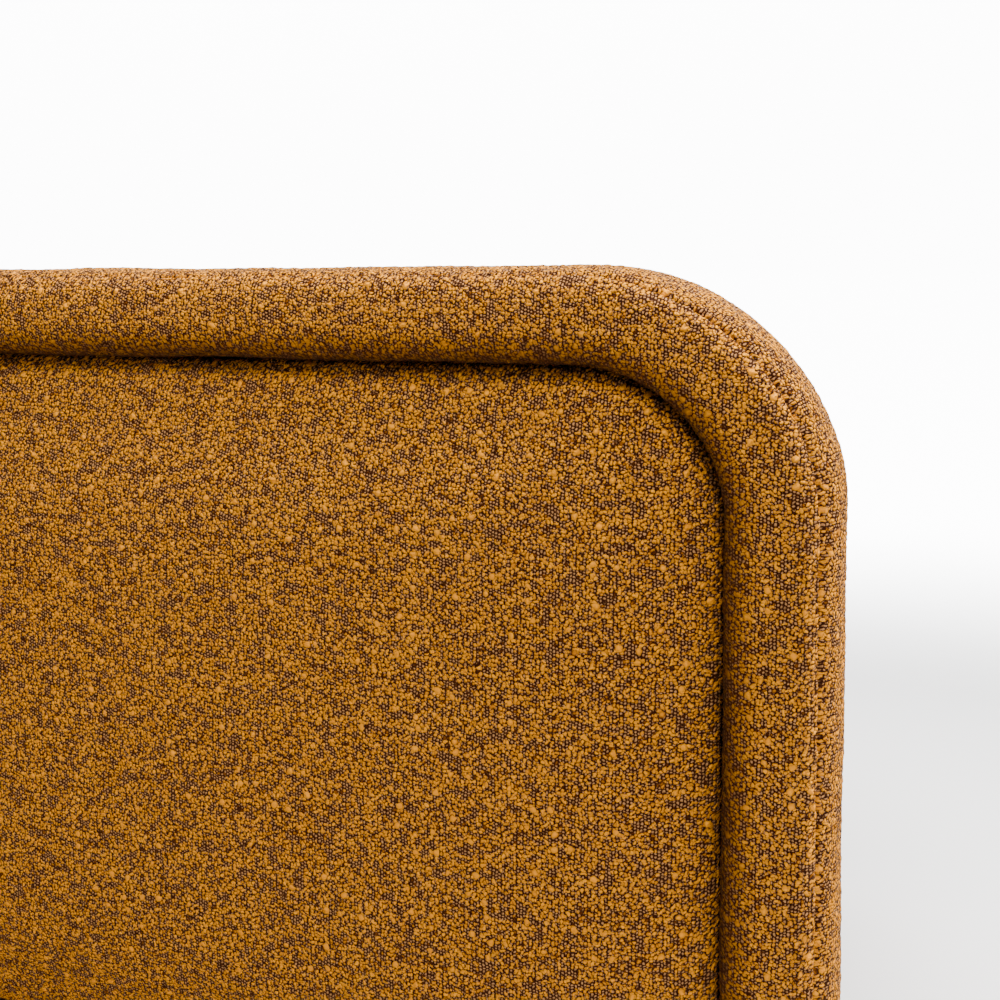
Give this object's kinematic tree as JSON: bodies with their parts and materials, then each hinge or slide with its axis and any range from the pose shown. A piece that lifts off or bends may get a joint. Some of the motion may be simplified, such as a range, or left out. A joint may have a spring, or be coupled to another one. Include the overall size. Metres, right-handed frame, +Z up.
{
  "type": "storage ottoman",
  "caption": "Wide upholstered ottoman with a tall round-cornered padded front, a storage box and a cushioned lid hinged at the rear on gas struts.",
  "frame": {"origin": "middle of the footprint, on the floor", "axes": "+X to the right seen from the front, +Y to the rear, +Z up; the padded front face looks along -Y"},
  "size_m": [0.94, 0.46, 0.45],
  "materials": {
    "boucle": "matte",
    "birch_ply": "satin",
    "pine": "matte",
    "lining": "matte",
    "dust_cloth": "matte",
    "dark_foot": "satin",
    "felt": "matte",
    "zinc": "satin",
    "black_metal": "satin",
    "chrome_rod": "polished",
    "nylon": "matte",
    "rubber": "matte"
  },
  "bodies": {
    "base": {"base_rails": "pine", "bottom_panel": "birch_ply", "bracket_screws_base": "zinc", "corner_posts": "pine", "cross_battens": "pine", "dust_cover": "dust_cloth", "foot_bolts": "zinc", "foot_front_left": "dark_foot", "foot_front_right": "dark_foot", "foot_glides": "felt", "foot_rear_left": "dark_foot", "foot_rear_right": "dark_foot", "front_back_cloth": "lining", "front_border_roll": "boucle", "front_frame_board": "birch_ply", "front_gusset": "boucle", "front_pad": "boucle", "front_pad_board": "birch_ply", "hinge_leaf_base_left": "zinc", "hinge_leaf_base_right": "zinc", "hinge_pin_left": "zinc", "hinge_pin_right": "zinc", "hinge_screws_base": "zinc", "lid_bumpers": "rubber", "panel_bolts": "zinc", "rear_cover": "boucle", "rear_panel": "birch_ply", "side_cover_left": "boucle", "side_cover_right": "boucle", "side_panel_left": "birch_ply", "side_panel_right": "birch_ply", "storage_liner": "lining", "strut_bracket_base_left": "zinc", "strut_bracket_base_right": "zinc"},
    "lid": {"lid_board": "birch_ply", "lid_cushion": "boucle", "lid_lining": "lining", "pull_tab": "boucle", "hinge_leaf_lid_left": "zinc", "hinge_leaf_lid_right": "zinc", "hinge_screws_lid": "zinc", "strut_bracket_lid_left": "zinc", "strut_bracket_lid_right": "zinc", "bracket_screws_lid": "zinc"},
    "strut_tube_left": {"strut_cylinder_left": "black_metal"},
    "strut_piston_left": {"strut_rod_left": "chrome_rod", "strut_end_fitting_left": "nylon"},
    "strut_tube_right": {"strut_cylinder_right": "black_metal"},
    "strut_piston_right": {"strut_rod_right": "chrome_rod", "strut_end_fitting_right": "nylon"}
  },
  "joints": [
    {"name": "lid_hinge", "type": "hinge", "parent": "base", "child": "lid", "pos_m": [0, 0.225, 0.337], "axis": [-1, 0, 0], "range_deg": [0, 80]},
    {"name": "strut_turn_left", "type": "hinge", "parent": "base", "child": "strut_tube_left", "pos_m": [-0.414, 0.115, 0.15], "axis": [-1, 0, 0], "range_deg": [0, 3.2]},
    {"name": "strut_slide_left", "type": "slide", "parent": "strut_tube_left", "child": "strut_piston_left", "axis": [0, 0.2356, 0.9719], "range_m": [0, 0.0937]},
    {"name": "strut_turn_right", "type": "hinge", "parent": "base", "child": "strut_tube_right", "pos_m": [0.414, 0.115, 0.15], "axis": [-1, 0, 0], "range_deg": [0, 3.2]},
    {"name": "strut_slide_right", "type": "slide", "parent": "strut_tube_right", "child": "strut_piston_right", "axis": [0, 0.2356, 0.9719], "range_m": [0, 0.0937]}
  ],
  "couplings": [
    {"joint": "strut_turn_left", "follows": "lid_hinge", "ratio": 0.03982},
    {"joint": "strut_slide_left", "follows": "lid_hinge", "m_per_rad": 0.067032},
    {"joint": "strut_turn_right", "follows": "lid_hinge", "ratio": 0.03982},
    {"joint": "strut_slide_right", "follows": "lid_hinge", "m_per_rad": 0.067032}
  ]
}
